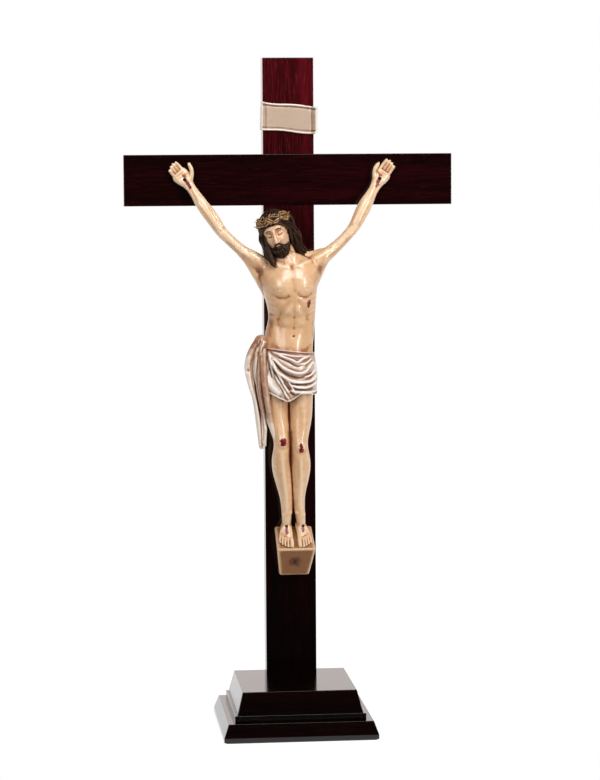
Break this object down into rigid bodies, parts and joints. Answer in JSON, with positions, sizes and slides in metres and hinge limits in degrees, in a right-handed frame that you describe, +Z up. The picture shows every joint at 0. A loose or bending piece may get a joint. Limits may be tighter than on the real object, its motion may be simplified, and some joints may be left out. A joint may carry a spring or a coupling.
{
  "type": "crucifix",
  "caption": "Standing crucifix: stepped wooden base and halved cross carrying a painted figure with crown, loincloth, sloping foot block and blank title scroll.",
  "frame": {"origin": "centre of the base's underside, on the table", "axes": "+Z up along the upright; +X along the crossbar towards the figure's left hand; -Y out of the front"},
  "size_m": [0.3, 0.139, 0.61],
  "materials": {
    "felt": "matt green felt",
    "stained_wood": "dark red mahogany stain under satin lacquer",
    "scroll_paint": "ivory paint with a brown wash",
    "block_paint": "beige-brown paint",
    "skin_paint": "glossy flesh paint with an orange-brown wash",
    "hair_paint": "very dark brown paint",
    "crown_paint": "ochre paint with a dark wash",
    "cloth_paint": "cream paint with a pink-brown wash in the folds",
    "screw_steel": "bright zinc",
    "nail_iron": "dark iron",
    "dowel_wood": "plain beech"
  },
  "bodies": {
    "root": {"base_felt": "felt", "base_plinth": "stained_wood", "base_step": "stained_wood", "base_block": "stained_wood", "upright": "stained_wood", "crossbar": "stained_wood", "title_scroll": "scroll_paint", "foot_block": "block_paint", "corpus_torso": "skin_paint", "corpus_head": "skin_paint", "corpus_hair": "hair_paint", "right_arm": "skin_paint", "left_arm": "skin_paint", "right_leg": "skin_paint", "left_leg": "skin_paint", "crown_of_thorns": "crown_paint", "loincloth": "cloth_paint", "loincloth_fall": "cloth_paint", "base_screws": "screw_steel", "tenon_screws": "screw_steel", "lap_screws": "screw_steel", "corpus_screws": "screw_steel", "foot_block_screws": "screw_steel", "scroll_pins": "screw_steel", "nail_right_hand": "nail_iron", "nail_left_hand": "nail_iron", "nail_right_foot": "nail_iron", "nail_left_foot": "nail_iron", "shoulder_dowel_right": "dowel_wood", "shoulder_dowel_left": "dowel_wood", "neck_dowel": "dowel_wood", "hip_dowel_right": "dowel_wood", "hip_dowel_left": "dowel_wood", "knot_dowel": "dowel_wood"}
  },
  "joints": []
}
